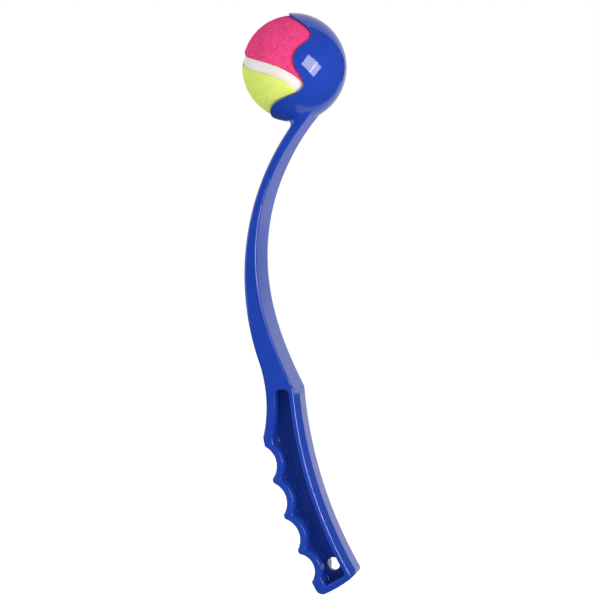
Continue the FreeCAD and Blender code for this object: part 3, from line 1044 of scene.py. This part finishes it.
@dataclass
class FeltBall:
    """The ball: two felt panels, the seam between them and the rubber core under them."""

    sizes: BallSizes = BallSizes()
    nap: NapSizes = NapSizes()
    body: str = "ball"
    flat_width: float = 0.046
    flat_length: float = 0.149
    flat_area: float = 0.0052

    def build(self, effects: Effects) -> None:
        """Builds the panels and dresses the seam and the core.

        Args:
            effects: the shared surface effects.
        """
        stick = surface_of(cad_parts["launcher_wand"])
        for node, slot, side, finish in (
            ("pink_felt_panel", "pink_felt", PanelSide.PINK, PINK_FELT),
            ("yellow_green_felt_panel", "yellow_green_felt", PanelSide.YELLOW_GREEN, YELLOW_GREEN_FELT),
        ):
            panel = FeltPanel(side, finish, self.sizes, self.nap).build(stick, effects)
            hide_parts(node)
            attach(panel, self.body)
            LOG.info("%s: %d faces", panel.name, len(panel.data.polygons))
        dress("ball_seam", SEAM_RUBBER.material(effects))
        core = CORE_RUBBER.material(effects)
        for node in ("ball_core_half_1", "ball_core_half_2"):
            dress(node, core)


# ---- The stick ----


def surface_of(node: bpy.types.Object) -> BVHTree:
    """Reads the surface of a fixed node, for measuring distances.

    Args:
        node: the node's object.

    Returns:
        The surface, in metres.
    """
    corners = [vertex.co.copy() for vertex in node.data.vertices]
    faces = [tuple(face.vertices) for face in node.data.polygons]
    return BVHTree.FromPolygons(corners, faces)


def dress(name: str, material: bpy.types.Material) -> None:
    """Puts one finish on all of a fixed node.

    Args:
        name: the node's name.
        material: the finish.
    """
    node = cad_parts[name]
    for slot in node.material_slots:
        slot.material = material
    if not node.material_slots:
        node.data.materials.append(material)
    LOG.info("%s: %s", name, material.name)


@dataclass
class ThrowingStick:
    """The one-piece stick: claw cup, curved shaft and finger-grooved grip."""

    node: str = "launcher_wand"
    finish: GlossyBlue = GlossyBlue()

    def build(self, effects: Effects) -> None:
        """Dresses the stick.

        Args:
            effects: the shared surface effects.
        """
        dress(self.node, self.finish.material(effects))


# ---- The studio ----


@dataclass(frozen=True)
class ViewPoint:
    """The camera's place in millimetres, level with what it looks at, and its clipping in metres."""

    target: tuple[float, float, float] = (-22.2, 0.0, 162.4)
    azimuth: float = 17.2
    distance: float = 700.0
    lens: float = 67.41
    sensor: float = 36.0
    clip_near: float = 0.01
    clip_far: float = 50.0

    def build(self) -> None:
        """Makes the scene's camera."""
        data = bpy.data.cameras.new("camera")
        data.lens = self.lens
        data.sensor_width = self.sensor
        data.clip_start = self.clip_near
        data.clip_end = self.clip_far
        camera = bpy.data.objects.new("camera", data)
        bpy.context.scene.collection.objects.link(camera)
        turn = math.radians(self.azimuth)
        back = Vector((math.sin(turn), -math.cos(turn), 0.0))
        camera.location = (Vector(self.target) + back * self.distance) * MM
        camera.rotation_euler = Euler((math.pi / 2.0, 0.0, turn))
        bpy.context.scene.camera = camera


@dataclass(frozen=True)
class SoftBox:
    """One soft lamp, aimed at a point from an azimuth and a height, all in millimetres and degrees."""

    name: str
    aim: tuple[float, float, float]
    azimuth: float
    elevation: float
    distance: float
    size: tuple[float, float]
    roll: float
    radiance: float
    colour: Colour = WHITE

    def build(self) -> None:
        """Makes the lamp, whose power follows from its area and the radiance wanted."""
        data = bpy.data.lights.new(self.name, "AREA")
        data.shape = "RECTANGLE"
        data.color = self.colour
        data.size = self.size[0] * MM
        data.size_y = self.size[1] * MM
        data.energy = self.radiance * math.pi * data.size * data.size_y
        lamp = bpy.data.objects.new(self.name, data)
        bpy.context.scene.collection.objects.link(lamp)
        lamp.visible_camera = False
        turn = math.radians(self.azimuth)
        rise = math.radians(self.elevation)
        back = Vector((math.sin(turn) * math.cos(rise), -math.cos(turn) * math.cos(rise), math.sin(rise)))
        lamp.location = (Vector(self.aim) + back * self.distance) * MM
        facing = back.to_track_quat("Z", "Y")
        lamp.rotation_mode = "QUATERNION"
        lamp.rotation_quaternion = facing @ Matrix.Rotation(math.radians(self.roll), 3, "Z").to_quaternion()


@dataclass(frozen=True)
class PaleSector:
    """A pale part of the room, as bearings turned left of straight behind the stick, in degrees.

    It narrows with height by narrowing, and above rise_from it widens again by rise.
    """

    azimuth: float
    half_angle: float
    blur: float
    bright: float
    dim: float
    narrowing: float = 0.0
    rise: float = 0.0
    rise_from: float = 0.3

    def brightness(self, shader: Shader, direction: NodeSocket) -> NodeSocket:
        """How bright a direction or a place is.

        Args:
            shader: the shader builder.
            direction: the direction or place, seen from the stick's foot.

        Returns:
            The brightness socket, 1 for white.
        """
        level = shader.vector("MULTIPLY", direction, (1.0, 1.0, 0.0))
        bearing = shader.node("ShaderNodeVectorMath", {"operation": "NORMALIZE"})
        shader.feed(bearing.inputs[0], level)
        turn = math.radians(self.azimuth)
        middle = (-math.sin(turn), math.cos(turn), 0.0)
        facing = shader.vector("DOT_PRODUCT", bearing.outputs["Vector"], middle, "Value")
        parts = shader.node("ShaderNodeSeparateXYZ", Vector=direction)
        above = shader.maths("MAXIMUM", shader.maths("SUBTRACT", parts.outputs["Z"], self.rise_from), 0.0)
        narrowed = shader.maths("MULTIPLY", parts.outputs["Z"], -self.narrowing)
        raised = shader.maths("ADD", shader.maths("MULTIPLY", above, self.rise), narrowed)
        outer = math.cos(math.radians(self.half_angle + self.blur))
        inner = math.cos(math.radians(self.half_angle - self.blur))
        return shader.between(shader.maths("ADD", facing, raised), outer, inner, self.dim, self.bright)


@dataclass
class Studio:
    """A pale floor, soft lamps, a white surround and the camera."""

    view: ViewPoint = ViewPoint()
    wall: PaleSector = PaleSector(
        azimuth=12.5, half_angle=32.5, blur=3.0, bright=0.85, dim=0.08, narrowing=0.1, rise=0.85, rise_from=0.25
    )
    sweep: PaleSector = PaleSector(azimuth=-5.0, half_angle=22.0, blur=8.0, bright=0.8, dim=0.08)
    surround: float = 0.46
    floor_half_width: float = 6.0
    floor_colour: Colour = (0.92, 0.92, 0.92)
    floor_glow: float = 1.27
    floor_glow_share: float = 0.7
    boxes: tuple[SoftBox, ...] = (
        SoftBox("key_box", (-26.6, 0.0, 307.3), 56.2, -4.5, 700.0, (465.0, 317.0), -36.0, 9.9, WARM_WHITE),
        SoftBox("key_bar", (-26.6, 0.0, 307.3), 60.5, -7.6, 690.0, (20.0, 310.0), -36.0, 18.0, WARM_WHITE),
        SoftBox("top_box", (-22.0, 0.0, 160.0), -40.0, 62.0, 1500.0, (1100.0, 1100.0), 0.0, 0.5),
        SoftBox("left_box", (-26.6, 0.0, 250.0), -65.0, 15.0, 1600.0, (1400.0, 1400.0), 0.0, 2.1),
    )

    def build(self) -> None:
        """Makes the camera, the lamps, the surround and the floor."""
        self.view.build()
        for box in self.boxes:
            box.build()
        self.build_surround()
        self.build_floor()
        bpy.context.scene.view_settings.view_transform = "Standard"

    @staticmethod
    def rays(shader: Shader) -> tuple[NodeSocket, NodeSocket]:
        """Tells apart the ways in which the surround and the floor are looked at.

        Args:
            shader: the shader builder.

        Returns:
            Two sockets, each 1 or 0: seen straight or through glass, and seen in a reflection.
        """
        path = shader.node("ShaderNodeLightPath").outputs
        return shader.maths("MAXIMUM", path["Is Camera Ray"], path["Is Transmission Ray"]), path["Is Glossy Ray"]

    def build_surround(self) -> None:
        """Makes the world.

        It is white where the camera sees it, a dim studio with a pale far wall that widens with height where
        it is reflected, and an even soft light otherwise.
        """
        world = bpy.data.worlds.new("white_surround")
        shader = emptied(world)
        through, glossy = self.rays(shader)
        sky = shader.node("ShaderNodeTexCoord").outputs["Generated"]
        mirrored = shader.maths("MULTIPLY", glossy, self.wall.brightness(shader, sky))
        unseen = shader.maths("SUBTRACT", 1.0, shader.maths("MAXIMUM", through, glossy))
        lit = shader.maths("MULTIPLY", unseen, self.surround)
        strength = shader.maths("ADD", shader.maths("MAXIMUM", through, mirrored), lit)
        glow = shader.node("ShaderNodeBackground", Color=WHITE, Strength=strength)
        shader.node("ShaderNodeOutputWorld", Surface=glow.outputs["Background"])
        bpy.context.scene.world = world

    def build_floor(self) -> None:
        """Makes the floor under the lowest point of the stick."""
        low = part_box("launcher_wand")[0].z
        half = self.floor_half_width
        built = bmesh.new()
        outline = ((-half, -half), (half, -half), (half, half), (-half, half))
        built.faces.new([built.verts.new((x, y, low)) for x, y in outline])
        made = bpy.data.meshes.new("studio_floor")
        built.to_mesh(made)
        built.free()
        floor = bpy.data.objects.new("studio_floor", made)
        bpy.context.scene.collection.objects.link(floor)
        material = bpy.data.materials.new("pale_floor")
        shader = emptied(material)
        matte = shader.node("ShaderNodeBsdfDiffuse", Color=self.floor_colour)
        through, glossy = self.rays(shader)
        place = shader.node("ShaderNodeTexCoord").outputs["Object"]
        mirrored = shader.maths("MULTIPLY", glossy, self.sweep.brightness(shader, place))
        strength = shader.maths("ADD", shader.maths("MULTIPLY", through, self.floor_glow), mirrored)
        glow = shader.node("ShaderNodeEmission", Color=WHITE, Strength=strength)
        share = shader.maths("MAXIMUM", shader.maths("MULTIPLY", through, self.floor_glow_share), glossy)
        both = shader.node("ShaderNodeMixShader")
        shader.feed(both.inputs[0], share)
        shader.feed(both.inputs[1], matte.outputs["BSDF"])
        shader.feed(both.inputs[2], glow.outputs["Emission"])
        shader.node("ShaderNodeOutputMaterial", Surface=both.outputs["Shader"])
        made.materials.append(material)


def main() -> None:
    """Builds the studio, the stick and the ball."""
    logging.basicConfig(level=logging.INFO, format="%(name)s %(message)s")
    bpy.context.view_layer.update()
    Studio().build()
    effects = Effects()
    ThrowingStick().build(effects)
    FeltBall().build(effects)


if __name__ == "__main__":
    main()
